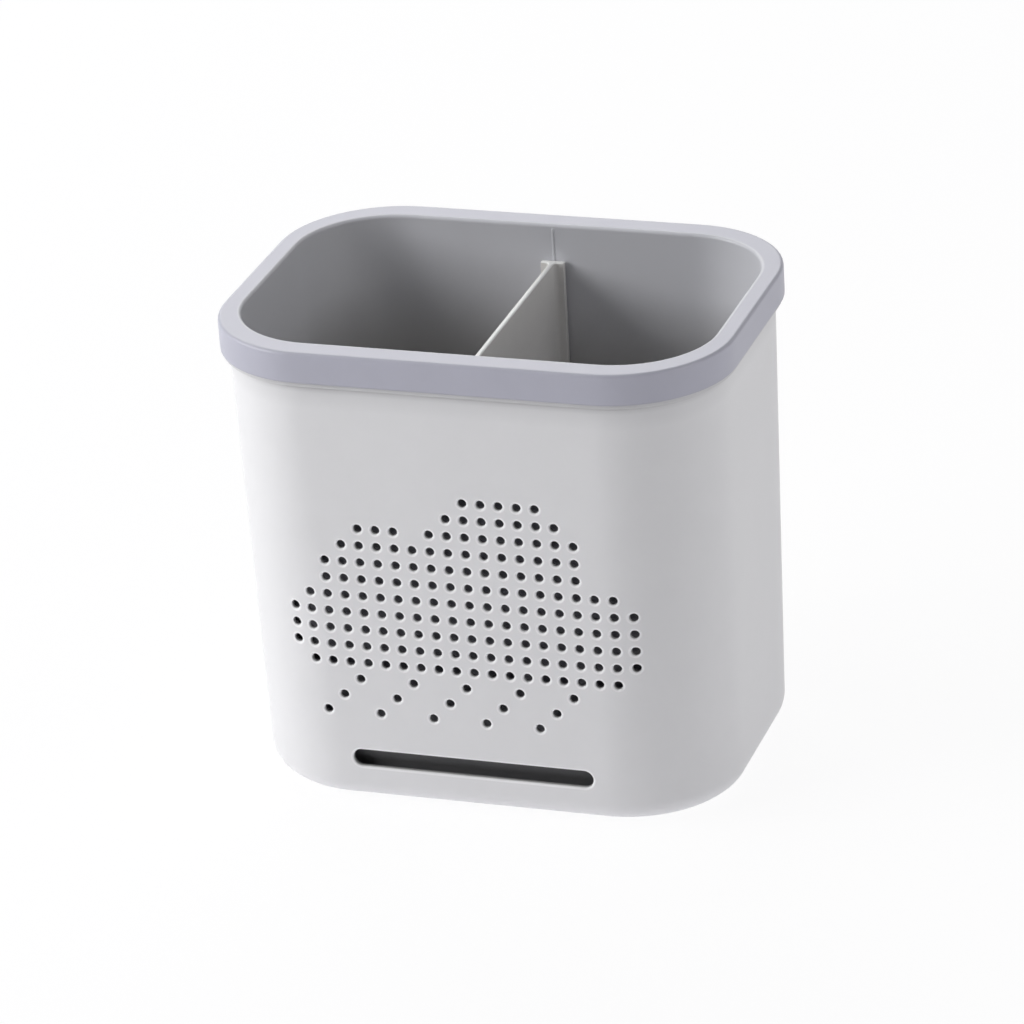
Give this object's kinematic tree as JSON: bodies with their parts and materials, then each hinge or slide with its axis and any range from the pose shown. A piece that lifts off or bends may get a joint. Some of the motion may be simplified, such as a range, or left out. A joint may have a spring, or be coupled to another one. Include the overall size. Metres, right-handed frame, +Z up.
{
  "type": "chopstick holder",
  "caption": "Open chopstick and cutlery holder: a white outer shell pierced with a rain cloud, a lift-out grey liner with a slide-in flanged divider, and a drip tray under it.",
  "frame": {"origin": "centre of the base, on the surface that the foot pads stand on", "axes": "+X left to right, +Y front to back with the cloud on the -Y side, +Z up"},
  "size_m": [0.142, 0.1046, 0.134],
  "materials": {
    "shell_white": "fine satin moulded surface",
    "liner_grey": "fine matt moulded surface",
    "divider_grey": "fine matt moulded surface",
    "tray_charcoal": "satin",
    "pad_rubber": "matt, slightly tacky"
  },
  "bodies": {
    "shell": {"outer_shell": "shell_white", "foot_pad_front_left": "pad_rubber", "foot_pad_front_right": "pad_rubber", "foot_pad_rear_left": "pad_rubber", "foot_pad_rear_right": "pad_rubber"},
    "liner": {"inner_liner": "liner_grey"},
    "divider": {"divider": "divider_grey"},
    "tray": {"drip_tray": "tray_charcoal"}
  },
  "joints": [
    {"name": "liner_lift", "type": "slide", "parent": "shell", "child": "liner", "axis": [0, 0, 1], "range_m": [0, 0.27]},
    {"name": "divider_lift", "type": "slide", "parent": "liner", "child": "divider", "axis": [0, 0, 1], "range_m": [0, 0.12]},
    {"name": "tray_lift", "type": "slide", "parent": "shell", "child": "tray", "axis": [0, 0, 1], "range_m": [0, 0.135]}
  ],
  "couplings": [
    {"joint": "tray_lift", "follows": "liner_lift", "ratio": 0.5}
  ]
}
